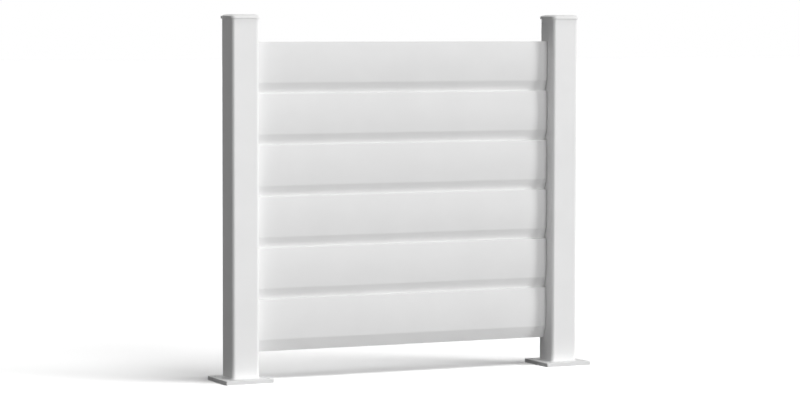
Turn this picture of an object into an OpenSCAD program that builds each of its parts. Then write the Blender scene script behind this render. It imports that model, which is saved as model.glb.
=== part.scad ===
// One bay of an aluminium windbreak fence: six hollow interlocking boards between two
// square posts, each welded to a base plate and closed by a cap. Millimetres, +Z up.
// The origin is the centre of the left base plate's underside. X runs along the fence
// to the right post, and the weather side faces -Y.

/* [Bay] */
// Distance between the post centres
bay_w = 1046; // [700:2:2000]
// Ground to the line where the lowest board's face ends
ground_gap = 87; // [40:1:200]
// How far the post tubes stand up past the top board
post_above = 67; // [10:1:300]

/* [Posts] */
// Side of the square post tube
post_w = 85; // [76:1:110]
// Outside corner radius of the post tube
post_r = 10; // [5:0.5:10]
// Wall thickness of the post tube
post_wall = 3; // [2:0.5:4.5]
// Leg of the weld bead round a post's foot
weld_leg = 3; // [2:0.5:6]

/* [Base plates] */
// Side of the square base plate
plate_w = 148; // [140:1:240]
// Thickness of the base plate
plate_t = 12; // [6:1:20]
// Chamfer round the base plate's top edge
plate_chamfer = 1; // [0.5:0.25:2]
// Distance from a bolt hole's centre to the plate's two nearest edges
hole_inset = 15; // [12:0.5:16]
// Diameter of the bolt holes
hole_d = 11; // [8:0.5:12]

/* [Caps] */
// How far a cap stands out past the post's faces
cap_overhang = 4; // [2:0.5:8]
// Height of a cap's upright rim
cap_rim = 8.5; // [3:0.5:14]
// Rise of a cap's crown above its rim
cap_crown = 4; // [2:0.5:12]
// How far the crown's flat top is set in from the rim
crown_inset = 15; // [8:0.5:20]
// Wall thickness of the plug under a cap
plug_wall = 2.5; // [1.5:0.25:4]
// Depth of the plug inside the tube
plug_depth = 22; // [10:1:40]

/* [Boards] */
// Height that one board covers
board_pitch = 150; // [125:1:155]
// Thickness of a board, front to back
board_t = 34; // [30:0.5:35]
// How far the boards' front stands ahead of the posts' centre plane
board_ahead = 3; // [2:0.5:4]
// Wall thickness of a board
board_wall = 2; // [1.5:0.1:3]
// Bulge of a board's upper face
face_bulge = 2.5; // [1:0.25:3.5]
// Radius of a board's top front edge
edge_r = 1.5; // [0.5:0.25:2]
// Height of the bevelled lower part of a board's face
bevel_h = 34; // [28:1:40]
// How far the bevel runs back at a board's foot
bevel_back = 13; // [10:0.5:22]
// Radius where the face turns into the bevel
bevel_r = 22; // [10:1:30]
// Depth of the rebate in which the foot of the board above stands
rebate = 4; // [3:0.5:6]
// Thickness of the two webs inside a board
web_t = 1.5; // [1:0.25:3]

/* [End shoes] */
// Length of a shoe inside a board's end
shoe_len = 40; // [20:1:80]
// Wall thickness of a shoe
shoe_wall = 3; // [2:0.5:5]

/* [Fits] */
// Gap beside a piece that slides into another
slide_gap = 0.3; // [0.2:0.05:0.6]
// Gap between a board's end and the post's face
end_gap = 0.5; // [0.3:0.1:2]

/* [Hidden] */

coat_white = [0.93, 0.93, 0.92];
cap_white = [0.90, 0.90, 0.89];
mill_finish = [0.72, 0.73, 0.75];
$fn = 48;
// How far a cutting tool reaches past the surface that it cuts
over = 1;

// Top of the post tubes, on which the caps stand
tube_top = ground_gap + 6 * board_pitch + post_above;

// A board's end faces stand clear of the posts, and its length fills the space between
board_x = post_w / 2 + end_gap;
board_len = bay_w - 2 * board_x;

// Board section. Y is measured back from the top front edge, Z up from the line where
// the face ends. Lean is the angle by which the face tips forward over the ground: the
// upper arc runs from -face_lean to face_lean, and the turning arc on to bevel_lean.
face_h = board_pitch - edge_r - bevel_h;
face_R = (pow(face_h / 2, 2) + pow(face_bulge, 2)) / (2 * face_bulge);
face_lean = asin(face_h / 2 / face_R);
face_centre = [face_R - face_bulge, bevel_h + face_h / 2];
turn_centre = [bevel_r * cos(face_lean), bevel_h + bevel_r * sin(face_lean)];
// The straight bevel is the tangent from the foot's front corner to the turning arc
foot = [bevel_back, -rebate];
from_foot = turn_centre - foot;
bevel_lean = atan2(from_foot[1], from_foot[0]) - acos(bevel_r / norm(from_foot));
// Back of the lip that hides the foot of the board above
lip_w = foot[0] - rebate * tan(bevel_lean) - slide_gap;
// The webs split a board into three equal storeys, and the shoes fill the middle one
storey = board_pitch / 3;

// Point at a lean on an arc
function at_lean(centre, radius, lean) = centre - radius * [cos(lean), sin(lean)];
// The front of a board from the top edge to the foot, moved in by d
function front_line(d) =
    let (last = at_lean(turn_centre, bevel_r - d, bevel_lean),
         drop = last[1] - foot[1] - d)
    concat(
        [for (k = [0:10]) at_lean(face_centre, face_R - d, (k / 5 - 1) * face_lean)],
        [for (k = [1:5]) at_lean(turn_centre, bevel_r - d,
            face_lean + k / 6 * (bevel_lean - face_lean))],
        [last, [last[0] + drop * tan(bevel_lean), foot[1] + d]]);
// The back of a board from the foot to the rebate's front wall, moved in by d
function back_line(d) = [
    [board_t - d, foot[1] + d],
    [board_t - d, board_pitch - rebate - d],
    [lip_w - d, board_pitch - rebate - d]
];
// The lip's top, with the rounded front edge
lip_top = concat([[lip_w, board_pitch]],
    [for (lean = [-90:30:-30]) at_lean([edge_r, board_pitch - edge_r], edge_r, lean)]);

module board_section() {
    difference() {
        polygon(concat(front_line(0), back_line(0), lip_top));
        for (k = [0:2]) {
            low = k == 0 ? -rebate : k * storey + web_t / 2;
            high = k == 2 ? board_pitch - board_wall : (k + 1) * storey - web_t / 2;
            intersection() {
                polygon(concat(front_line(board_wall), back_line(board_wall),
                    [[lip_w - board_wall, board_pitch]]));
                translate([-board_t, low]) square([2 * board_t, high - low]);
            }
        }
    }
}

// Rounded square in the XY plane, centred on the origin
module rounded_square(side, radius) {
    flat = side - 2 * radius;
    square([side, flat], center = true);
    square([flat, side], center = true);
    for (sx = [-1, 1], sy = [-1, 1])
        translate([sx * flat / 2, sy * flat / 2]) circle(radius);
}

module base_plate(x) {
    hole_at = plate_w / 2 - hole_inset;
    color(coat_white) translate([x, 0, 0]) difference() {
        translate([-plate_w / 2, -plate_w / 2, 0]) cube([plate_w, plate_w, plate_t]);
        for (turn = [0:90:270]) rotate(turn) {
            translate([plate_w / 2, plate_w / 2 + over, plate_t]) rotate([90, 0, 0])
                linear_extrude(plate_w + 2 * over)
                    polygon([[-plate_chamfer - over, over], [over, over],
                        [over, -plate_chamfer - over]]);
            translate([hole_at, hole_at, -over])
                cylinder(h = plate_t + 2 * over, d = hole_d);
        }
    }
}

module post(x) {
    color(coat_white) translate([x, 0, plate_t]) linear_extrude(tube_top - plate_t)
        difference() {
            rounded_square(post_w, post_r);
            rounded_square(post_w - 2 * post_wall, post_r - post_wall);
        }
}

// Fillet weld all round the foot of a post
module foot_weld(x) {
    flat = post_w - 2 * post_r;
    bead = [[0, 0], [weld_leg, 0], [0, weld_leg]];
    color(coat_white) translate([x, 0, plate_t]) for (turn = [0:90:270]) rotate(turn) {
        translate([post_w / 2, flat / 2, 0]) rotate([90, 0, 0])
            linear_extrude(flat) polygon(bead);
        translate([flat / 2, flat / 2, 0]) rotate_extrude(angle = 90)
            polygon([for (p = bead) p + [post_r, 0]]);
    }
}

// The cap's rim stands on the tube, its crown is a low pyramid, its plug fills the tube
module cap(x) {
    rim_w = post_w + 2 * cap_overhang;
    rim_r = post_r + cap_overhang;
    plug_w = post_w - 2 * post_wall - 2 * slide_gap;
    plug_r = post_r - post_wall - slide_gap;
    color(cap_white) translate([x, 0, tube_top]) {
        hull() {
            linear_extrude(cap_rim) rounded_square(rim_w, rim_r);
            linear_extrude(cap_rim + cap_crown)
                rounded_square(rim_w - 2 * crown_inset, rim_r / 2);
        }
        translate([0, 0, -plug_depth]) linear_extrude(plug_depth) difference() {
            rounded_square(plug_w, plug_r);
            rounded_square(plug_w - 2 * plug_wall, plug_r - plug_wall);
        }
    }
}

// Board number k, counted from the top
module board(k) {
    color(coat_white) translate([board_x, -board_ahead, board_z(k)])
        rotate([90, 0, 90]) linear_extrude(board_len) board_section();
}
function board_z(k) = ground_gap + (6 - k) * board_pitch;

// A shoe is a channel fixed to the post's face, over which a board's end is slid. It
// fills the board's middle storey.
module shoe(k) {
    depth = board_t - 2 * (board_wall + slide_gap);
    height = storey - web_t - 2 * slide_gap;
    low = board_z(k) + storey + web_t / 2 + slide_gap;
    color(mill_finish)
        translate([post_w / 2, board_wall + slide_gap - board_ahead, low]) difference() {
            cube([shoe_len, depth, height]);
            translate([shoe_wall, -over, shoe_wall])
                cube([shoe_len, depth + 2 * over, height - 2 * shoe_wall]);
        }
}
module left_shoe(k) { shoe(k); }
module right_shoe(k) { translate([bay_w, 0, 0]) mirror([1, 0, 0]) shoe(k); }

base_plate(0);  // left_base_plate
base_plate(bay_w);  // right_base_plate
post(0);  // left_post
post(bay_w);  // right_post
foot_weld(0);  // left_foot_weld
foot_weld(bay_w);  // right_foot_weld
cap(0);  // left_cap
cap(bay_w);  // right_cap
board(1);  // board_1
board(2);  // board_2
board(3);  // board_3
board(4);  // board_4
board(5);  // board_5
board(6);  // board_6
left_shoe(1);  // left_shoe_1
left_shoe(2);  // left_shoe_2
left_shoe(3);  // left_shoe_3
left_shoe(4);  // left_shoe_4
left_shoe(5);  // left_shoe_5
left_shoe(6);  // left_shoe_6
right_shoe(1);  // right_shoe_1
right_shoe(2);  // right_shoe_2
right_shoe(3);  // right_shoe_3
right_shoe(4);  // right_shoe_4
right_shoe(5);  // right_shoe_5
right_shoe(6);  // right_shoe_6
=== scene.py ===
"""Looks of a white aluminium windbreak fence bay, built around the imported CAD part.

The posts, plates, boards and shoes stay as the CAD has them, with softened edges and
their own finishes. The caps and the welds are meshed here. Lengths are in metres.
"""
from math import cos, pi, radians, sin

import bpy
from mathutils import Matrix, Vector


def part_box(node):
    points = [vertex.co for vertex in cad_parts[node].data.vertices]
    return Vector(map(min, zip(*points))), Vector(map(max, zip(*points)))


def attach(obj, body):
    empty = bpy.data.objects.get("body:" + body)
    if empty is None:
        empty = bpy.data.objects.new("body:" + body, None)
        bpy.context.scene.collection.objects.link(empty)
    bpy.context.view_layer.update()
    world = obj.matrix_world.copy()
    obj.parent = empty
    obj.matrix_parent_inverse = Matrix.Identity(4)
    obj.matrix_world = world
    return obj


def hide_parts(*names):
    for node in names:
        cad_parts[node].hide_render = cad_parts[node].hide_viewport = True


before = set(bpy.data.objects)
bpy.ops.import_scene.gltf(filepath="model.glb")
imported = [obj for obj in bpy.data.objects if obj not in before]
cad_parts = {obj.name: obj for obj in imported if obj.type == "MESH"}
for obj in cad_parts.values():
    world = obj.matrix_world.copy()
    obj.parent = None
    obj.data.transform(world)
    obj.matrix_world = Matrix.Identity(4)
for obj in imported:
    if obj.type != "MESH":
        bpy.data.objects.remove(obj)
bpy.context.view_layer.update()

MM = 0.001
QUARTER_TURN = pi / 2
SIDES = ("left", "right")
BOARDS = range(1, 7)
scene = bpy.context.scene


def add_object(name, data):
    obj = bpy.data.objects.new(name, data)
    scene.collection.objects.link(obj)
    return obj


# ---- Camera ----

CAMERA_AT = (-3.0814, -7.6175, 1.0505)
CAMERA_YAW = radians(25.25)      # turned from +Y towards +X
CAMERA_PITCH = radians(3.63)     # tipped down
CAMERA_ROLL = radians(0.10)
CAMERA_LENS = 127.6              # millimetres
CAMERA_SENSOR = 36.0             # its width in millimetres
CAMERA_REACH = 200.0             # nothing beyond this is drawn


def make_camera():
    data = bpy.data.cameras.new("camera")
    data.lens = CAMERA_LENS
    data.sensor_width = CAMERA_SENSOR
    data.clip_end = CAMERA_REACH
    camera = add_object("camera", data)
    camera.matrix_world = (
        Matrix.Translation(CAMERA_AT)
        @ Matrix.Rotation(-CAMERA_YAW, 4, "Z")
        @ Matrix.Rotation(QUARTER_TURN - CAMERA_PITCH, 4, "X")
        @ Matrix.Rotation(CAMERA_ROLL, 4, "Z")
    )
    scene.camera = camera


# ---- Light and floor ----

# Name, azimuth, height, strength and width of each lamp. The azimuth turns from -Y
# towards +X, the height is above the ground, and a wide lamp casts a soft shadow.
# All three angles are in degrees.
LAMPS = (
    ("key", 50, 7, 1.58, 19),
    ("front", 8, 7, 1.45, 30),
    ("side", 115, 6, 0.15, 25),
    ("left", -78, 6, 0.30, 30),
    ("top", 48, 62, 0.86, 30),
    ("overhead", 10, 83, 0.42, 28),
    ("back", 180, 12, 0.45, 26),
)
LAMP_DISTANCE = 6.0              # for the viewport only: a sun lights alike from anywhere
FILL = 0.015                     # strength of the even light from all round
BACKDROP = 1.0                   # and of the white behind it all
FLOOR_SEEN = 2.00                # the floor's albedo as seen: above 1, so that it comes out
                                 # white under lamps that mostly stand low
FLOOR_BOUNCE = 0.08              # and as it lights the fence
FLOOR_REACH = 60.0               # from the middle to each edge


def make_lamp(name, azimuth, height, strength, width):
    data = bpy.data.lights.new(name, "SUN")
    data.energy = strength
    data.angle = radians(width)
    lamp = add_object(name, data)
    azimuth, height = radians(azimuth), radians(height)
    towards = Vector((sin(azimuth) * cos(height), -cos(azimuth) * cos(height), sin(height)))
    lamp.rotation_euler = towards.to_track_quat("Z", "Y").to_euler()
    lamp.location = LAMP_DISTANCE * towards


def seen_rays(tree):
    """1 for what is seen directly, in a reflection or through glass, 0 for diffuse light."""
    path = tree.nodes.new("ShaderNodeLightPath")
    seen = path.outputs["Is Camera Ray"]
    for ray in ("Is Glossy Ray", "Is Transmission Ray"):
        either = tree.nodes.new("ShaderNodeMath")
        either.operation = "MAXIMUM"
        tree.links.new(seen, either.inputs[0])
        tree.links.new(path.outputs[ray], either.inputs[1])
        seen = either.outputs[0]
    return seen


def background(tree, strength):
    node = tree.nodes.new("ShaderNodeBackground")
    node.inputs["Color"].default_value = (1, 1, 1, 1)
    node.inputs["Strength"].default_value = strength
    return node.outputs[0]


def make_world():
    """A faint even fill for diffuse light, and a white backdrop for what is seen."""
    world = bpy.data.worlds.new("studio")
    scene.world = world
    world.use_nodes = True
    tree = world.node_tree
    tree.nodes.clear()
    mix = tree.nodes.new("ShaderNodeMixShader")
    output = tree.nodes.new("ShaderNodeOutputWorld")
    tree.links.new(seen_rays(tree), mix.inputs["Fac"])
    tree.links.new(background(tree, FILL), mix.inputs[1])
    tree.links.new(background(tree, BACKDROP), mix.inputs[2])
    tree.links.new(mix.outputs[0], output.inputs["Surface"])


def floor_paper():
    """Matt paper with one albedo for what is seen and another for the light it throws."""
    material = bpy.data.materials.new("floor_paper")
    material.use_nodes = True
    tree = material.node_tree
    tree.nodes.clear()
    shade = tree.nodes.new("ShaderNodeMix")
    shade.data_type = "RGBA"
    bounce, seen = [socket for socket in shade.inputs if socket.type == "RGBA"]
    bounce.default_value = (FLOOR_BOUNCE,) * 3 + (1,)
    seen.default_value = (FLOOR_SEEN,) * 3 + (1,)
    diffuse = tree.nodes.new("ShaderNodeBsdfDiffuse")
    output = tree.nodes.new("ShaderNodeOutputMaterial")
    tree.links.new(seen_rays(tree), shade.inputs["Factor"])
    tree.links.new(shade.outputs["Result"], diffuse.inputs["Color"])
    tree.links.new(diffuse.outputs[0], output.inputs["Surface"])
    return material


def make_floor():
    mesh = bpy.data.meshes.new("floor")
    r = FLOOR_REACH
    mesh.from_pydata([(-r, -r, 0), (r, -r, 0), (r, r, 0), (-r, r, 0)], [], [(0, 1, 2, 3)])
    floor = add_object("floor", mesh)
    mesh.materials.append(floor_paper())


# ---- Finishes ----

# Noise scales are in bumps per metre. A noise texture's heights mostly lie between low
# and high, and its patches run from the darkest share of a colour to the colour itself.
NOISE_LOW, NOISE_HIGH = 0.3, 0.7
PATCH_LOW, PATCH_HIGH = 0.35, 0.65
SHEEN = 0.25                     # of the paint and the plastic, both rather matt

COAT_IOR = 1.5
COAT_ROUGHNESS = 0.42
COAT_UNEVEN = 0.03               # how far the roughness strays either way
COAT_DARKEST = 0.975             # share of the colour left in the darkest patches
COAT_PATCHES = 7.0
COAT_WAVES, COAT_WAVE_DEPTH = 45.0, 0.03 * MM
COAT_PEEL, COAT_PEEL_DEPTH = 480.0, 0.02 * MM
ALONG_X = (0.3, 4, 4)            # draws the waves out along X
ALONG_Z = (4, 4, 0.4)            # and along Z

PLASTIC_IOR = 1.49
PLASTIC_ROUGHNESS = (0.42, 0.50)
PLASTIC_DARKEST = 0.98
PLASTIC_CLOUD = 30.0
PLASTIC_GRAIN, PLASTIC_GRAIN_DEPTH = 1400.0, 0.01 * MM

METAL_ROUGHNESS = (0.30, 0.48)
METAL_DARK = (0.60, 0.61, 0.62)
METAL_LIGHT = (0.78, 0.79, 0.80)
DIE_LINES, DIE_LINE_DEPTH = (8, 900, 900), 0.01 * MM


def noise(tree, place, scale, detail=2.0, axes=None):
    """A noise texture's height. Axes multiply its scale along X, Y and Z."""
    vector = place
    if axes:
        mapping = tree.nodes.new("ShaderNodeMapping")
        mapping.inputs["Scale"].default_value = axes
        tree.links.new(place, mapping.inputs["Vector"])
        vector = mapping.outputs["Vector"]
    texture = tree.nodes.new("ShaderNodeTexNoise")
    texture.inputs["Scale"].default_value = scale
    texture.inputs["Detail"].default_value = detail
    tree.links.new(vector, texture.inputs["Vector"])
    return texture.outputs["Fac"]


def ramp(tree, height, low, high, low_colour, high_colour):
    """A colour that runs from one to another as the height goes from low to high."""
    node = tree.nodes.new("ShaderNodeValToRGB")
    first, last = node.color_ramp.elements
    first.position, last.position = low, high
    first.color, last.color = tuple(low_colour) + (1,), tuple(high_colour) + (1,)
    tree.links.new(height, node.inputs["Fac"])
    return node.outputs["Color"]


def patchy(tree, height, colour, darkest):
    """The colour, taken down to its darkest share where the height is low."""
    dark = [darkest * c for c in colour]
    return ramp(tree, height, PATCH_LOW, PATCH_HIGH, dark, colour)


def remap(tree, height, low, high):
    """The noise's usual range turned into low to high."""
    node = tree.nodes.new("ShaderNodeMapRange")
    node.inputs["From Min"].default_value = NOISE_LOW
    node.inputs["From Max"].default_value = NOISE_HIGH
    node.inputs["To Min"].default_value = low
    node.inputs["To Max"].default_value = high
    tree.links.new(height, node.inputs["Value"])
    return node.outputs["Result"]


def bump(tree, height, depth, under=None):
    """Normals of a bump of this depth, laid over another bump's normals if given."""
    node = tree.nodes.new("ShaderNodeBump")
    node.inputs["Strength"].default_value = 1.0
    node.inputs["Distance"].default_value = depth
    tree.links.new(height, node.inputs["Height"])
    if under:
        tree.links.new(under, node.inputs["Normal"])
    return node.outputs["Normal"]


def start_material(name):
    material = bpy.data.materials.new(name)
    material.use_nodes = True
    tree = material.node_tree
    place = tree.nodes.new("ShaderNodeTexCoord").outputs["Object"]
    return material, tree, tree.nodes["Principled BSDF"], place


def set_finish(tree, shader, colour, roughness, normal):
    tree.links.new(colour, shader.inputs["Base Color"])
    tree.links.new(roughness, shader.inputs["Roughness"])
    tree.links.new(normal, shader.inputs["Normal"])


def powder_coat(name, colour, along):
    """Satin powder coat: fine orange peel over the faint long waves of an extrusion."""
    material, tree, shader, place = start_material(name)
    shader.inputs["IOR"].default_value = COAT_IOR
    shader.inputs["Specular IOR Level"].default_value = SHEEN
    patches = noise(tree, place, COAT_PATCHES, detail=3.0)
    tint = patchy(tree, patches, colour, COAT_DARKEST)
    rough = remap(tree, patches, COAT_ROUGHNESS - COAT_UNEVEN, COAT_ROUGHNESS + COAT_UNEVEN)
    waves = noise(tree, place, COAT_WAVES, detail=1.0, axes=along)
    waved = bump(tree, waves, COAT_WAVE_DEPTH)
    peel = noise(tree, place, COAT_PEEL)
    set_finish(tree, shader, tint, rough, bump(tree, peel, COAT_PEEL_DEPTH, under=waved))
    return material


def moulded_plastic(name, colour):
    """Fine spark-eroded grain on a moulding."""
    material, tree, shader, place = start_material(name)
    shader.inputs["IOR"].default_value = PLASTIC_IOR
    shader.inputs["Specular IOR Level"].default_value = SHEEN
    cloud = noise(tree, place, PLASTIC_CLOUD)
    tint = patchy(tree, cloud, colour, PLASTIC_DARKEST)
    rough = remap(tree, cloud, *PLASTIC_ROUGHNESS)
    grain = noise(tree, place, PLASTIC_GRAIN, detail=1.0)
    set_finish(tree, shader, tint, rough, bump(tree, grain, PLASTIC_GRAIN_DEPTH))
    return material


def mill_metal(name):
    """Bare extruded aluminium with fine die lines along X."""
    material, tree, shader, place = start_material(name)
    shader.inputs["Metallic"].default_value = 1.0
    lines = noise(tree, place, 1.0, axes=DIE_LINES)
    tint = ramp(tree, lines, NOISE_LOW, NOISE_HIGH, METAL_DARK, METAL_LIGHT)
    rough = remap(tree, lines, *METAL_ROUGHNESS)
    set_finish(tree, shader, tint, rough, bump(tree, lines, DIE_LINE_DEPTH))
    return material


# ---- CAD nodes ----

SHARP = radians(30)              # edges that turn more than this get rounded
EDGE = 0.3 * MM                  # how far the rounding reaches in from such an edge
PLATE_EDGE = 0.4 * MM
EDGE_STEPS = 3                   # faces across the rounding
SAME_POINT = 0.01 * MM           # points nearer than this are joined
FACE_WEIGHT = 80                 # above 50, large faces steer the shading at an edge


def smooth_faces():
    """Node group that drops the imported normals and shades every face smooth."""
    group = bpy.data.node_groups.new("smooth_faces", "GeometryNodeTree")
    for way in ("INPUT", "OUTPUT"):
        group.interface.new_socket("Geometry", in_out=way, socket_type="NodeSocketGeometry")
    entry = group.nodes.new("NodeGroupInput")
    smooth = group.nodes.new("GeometryNodeSetMeshNormal")
    smooth.mode = "SHARPNESS"
    smooth.inputs["Remove Custom"].default_value = True
    leave = group.nodes.new("NodeGroupOutput")
    group.links.new(entry.outputs[0], smooth.inputs["Mesh"])
    group.links.new(smooth.outputs["Mesh"], leave.inputs[0])
    return group


def finish_node(name, material, smooth, edge=EDGE):
    """Gives a CAD node its material and, by modifiers alone, rounded edges."""
    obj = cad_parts[name]
    obj.data.materials.clear()
    obj.data.materials.append(material)
    obj.modifiers.new("weld", "WELD").merge_threshold = SAME_POINT
    obj.modifiers.new("smooth", "NODES").node_group = smooth
    bevel = obj.modifiers.new("edges", "BEVEL")
    bevel.width = edge
    bevel.segments = EDGE_STEPS
    bevel.limit_method = "ANGLE"
    bevel.angle_limit = SHARP
    obj.modifiers.new("normals", "WEIGHTED_NORMAL").weight = FACE_WEIGHT


# ---- Meshed pieces ----

ARC_STEPS = 4                    # of a rounded edge, and of a weld's section


def loft(name, rings, at, material, closed=False):
    """Mesh through outlines of as many points each: its ends get a face, or are joined."""
    count = len(rings[0])
    points = [(x + at[0], y + at[1], z + at[2]) for ring in rings for x, y, z in ring]
    faces = []
    for low in range(len(rings) - (0 if closed else 1)):
        high = (low + 1) % len(rings)
        for i in range(count):
            j = (i + 1) % count
            faces.append((low * count + i, low * count + j, high * count + j, high * count + i))
    if not closed:
        faces.append(tuple(range(count))[::-1])
        faces.append(tuple(range(len(points) - count, len(points))))
    mesh = bpy.data.meshes.new(name)
    mesh.from_pydata(points, [], faces)
    mesh.materials.append(material)
    for face in mesh.polygons:
        face.use_smooth = True
    return add_object(name, mesh)


def middle(side, z):
    """The post's centre line at a height."""
    low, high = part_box(side + "_post")
    return ((low[0] + high[0]) / 2, (low[1] + high[1]) / 2, z)


def half_width(node):
    low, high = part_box(node)
    return (high[0] - low[0]) / 2


def stand_in(piece, node):
    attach(piece, "root")
    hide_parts(node)


# ---- Caps ----

# A cap's rings are half a side, a corner radius and a height above the post's top.
CAP_ROUND = 1.0 * MM             # edge radius of the rim
CAP_CORNER = 14.0 * MM           # corner radius of the rim
CROWN_RISE = 4.0 * MM            # of the crown's flat top above the rim
CROWN_SET_IN = 15.0 * MM         # of the flat top from the rim's side
CROWN_CORNER = 7.0 * MM          # corner radius of the flat top
PLUG_WALL = 2.5 * MM
PLUG_GAP = 3.3 * MM              # tube wall and play beside the plug
PLUG_CORNER = 6.7 * MM
CORNER_STEPS = 8
CROWN_STEPS = 8
CAP_CREASE = radians(40)         # edges that turn more than this stay sharp


def rounded_square(half, corner, z):
    """Outline at height z round the origin: half its side, and its corner radius."""
    flat = half - corner
    return [
        (flat * sx + corner * cos(a), flat * sy + corner * sin(a), z)
        for quarter, (sx, sy) in enumerate(((1, 1), (-1, 1), (-1, -1), (1, -1)))
        for a in [(quarter + i / CORNER_STEPS) * QUARTER_TURN for i in range(CORNER_STEPS + 1)]
    ]


def plug_rings(half, depth):
    """The hollow plug: down its inside from the cap's underside, and up its outside."""
    inside, inside_corner = half - PLUG_WALL, PLUG_CORNER - PLUG_WALL
    return [
        (inside, inside_corner, 0),
        (inside, inside_corner, -depth),
        (half, PLUG_CORNER, -depth),
        (half, PLUG_CORNER, 0),
    ]


def rim_rings(half, rim):
    """The rim's side, between its rounded lower edge and its rounded upper edge."""
    arc = [i / ARC_STEPS * QUARTER_TURN for i in range(ARC_STEPS + 1)]
    section = [(CAP_ROUND * (1 - sin(a)), CAP_ROUND * (1 - cos(a))) for a in arc]
    section += [(CAP_ROUND * (1 - cos(a)), rim - CAP_ROUND * (1 - sin(a))) for a in arc]
    return [(half - set_in, CAP_CORNER - set_in, z) for set_in, z in section]


def crown_rings(half, rim):
    """The crown, which rises fastest at the rim and runs level into its flat top."""
    rings = []
    for i in range(1, CROWN_STEPS + 1):
        t = i / CROWN_STEPS
        set_in = CAP_ROUND + (CROWN_SET_IN - CAP_ROUND) * t
        corner = CAP_CORNER - (CAP_CORNER - CROWN_CORNER) * set_in / CROWN_SET_IN
        rings.append((half - set_in, corner, rim + CROWN_RISE * t * (3 - t * t) / 2))
    return rings


def make_cap(side, material):
    """A moulded cap: a plug inside the tube, a rim over its end, and a low crown."""
    low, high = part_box(side + "_cap")
    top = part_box(side + "_post")[1][2]
    half = half_width(side + "_cap")
    rim = high[2] - top - CROWN_RISE
    rings = plug_rings(half_width(side + "_post") - PLUG_GAP, top - low[2])
    rings += rim_rings(half, rim) + crown_rings(half, rim)
    outlines = [rounded_square(*ring) for ring in rings]
    cap = loft(side + "_cap_moulding", outlines, middle(side, top), material)
    cap.data.set_sharp_from_angle(angle=CAP_CREASE)
    stand_in(cap, side + "_cap")


# ---- Welds ----

RIPPLE = 2.4 * MM                # length of one ripple of a weld
RIPPLE_POINTS = 8                # along it
RIPPLE_DEPTH = 0.25 * MM
WELD_BULGE = 0.12                # share of the leg, halfway between the toes
POST_CORNER = 10.0 * MM          # corner radius of the tube


def bead_point(t, leg):
    """Out and up from the root, t of the way from the plate's toe to the post's."""
    bulge = WELD_BULGE * leg * sin(t * pi)
    return leg * (1 - t) + bulge, leg * t + bulge


def along_foot(s, flat):
    """Point and outward direction at length s along the post's outline."""
    quarter_run = 2 * flat + POST_CORNER * QUARTER_TURN
    quarter, s = divmod(s, quarter_run)
    if s < 2 * flat:
        x, y, a = flat + POST_CORNER, s - flat, 0.0
    else:
        a = (s - 2 * flat) / POST_CORNER
        x, y = flat + POST_CORNER * cos(a), flat + POST_CORNER * sin(a)
    turn = quarter * QUARTER_TURN
    c, d = cos(turn), sin(turn)
    return x * c - y * d, x * d + y * c, cos(a + turn), sin(a + turn)


def make_weld(side, material):
    """A fillet weld round the post's foot, rippled along its run."""
    low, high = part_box(side + "_foot_weld")
    leg = high[2] - low[2]
    flat = half_width(side + "_post") - POST_CORNER
    length = 8 * flat + 2 * pi * POST_CORNER
    count = RIPPLE_POINTS * round(length / RIPPLE)
    foot = [along_foot(i / count * length, flat) for i in range(count)]
    dips = [RIPPLE_DEPTH * (1 + cos(2 * pi * i / RIPPLE_POINTS)) / 2 for i in range(count)]
    lines = []
    for k in range(ARC_STEPS + 1):
        line = []
        for (x, y, out_x, out_y), dip in zip(foot, dips):
            out, up = bead_point(k / ARC_STEPS, leg - dip)
            line.append((x + out_x * out, y + out_y * out, up))
        lines.append(line)
    lines.append([(x, y, 0) for x, y, _, _ in foot])
    weld = loft(side + "_weld_bead", lines, middle(side, low[2]), material, closed=True)
    stand_in(weld, side + "_foot_weld")


# ---- The fence ----

# Posts, boards and plates share one white powder coat. The posts' white is painted lighter, as
# painted light that brightens their shaded sides. The boards' and plates' white is painted
# darker, as painted shade over the boards' lit faces and the plates' tops.
POST_WHITE_PAINTED_LIGHTER = (0.92, 0.92, 0.92)
BOARD_WHITE_PAINTED_DARKER = (0.86, 0.86, 0.86)  # the plates' too
CAP_WHITE = (0.95, 0.95, 0.945)


def make_fence():
    # The posts take the white with painted light, and the plates and boards take the white with
    # painted shade.
    post_coat = powder_coat("post_powder_coat", POST_WHITE_PAINTED_LIGHTER, ALONG_Z)
    plate_coat = powder_coat("plate_powder_coat", BOARD_WHITE_PAINTED_DARKER, ALONG_Z)
    board_coat = powder_coat("board_powder_coat", BOARD_WHITE_PAINTED_DARKER, ALONG_X)
    cap_plastic = moulded_plastic("white_cap_plastic", CAP_WHITE)
    bare_metal = mill_metal("mill_aluminium")
    smooth = smooth_faces()
    for side in SIDES:
        finish_node(side + "_base_plate", plate_coat, smooth, PLATE_EDGE)
        finish_node(side + "_post", post_coat, smooth)
        make_cap(side, cap_plastic)
        make_weld(side, post_coat)
        for k in BOARDS:
            finish_node("%s_shoe_%d" % (side, k), bare_metal, smooth)
    for k in BOARDS:
        finish_node("board_%d" % k, board_coat, smooth)


make_fence()
make_camera()
make_world()
make_floor()
for lamp in LAMPS:
    make_lamp(*lamp)
scene.view_settings.view_transform = "Standard"
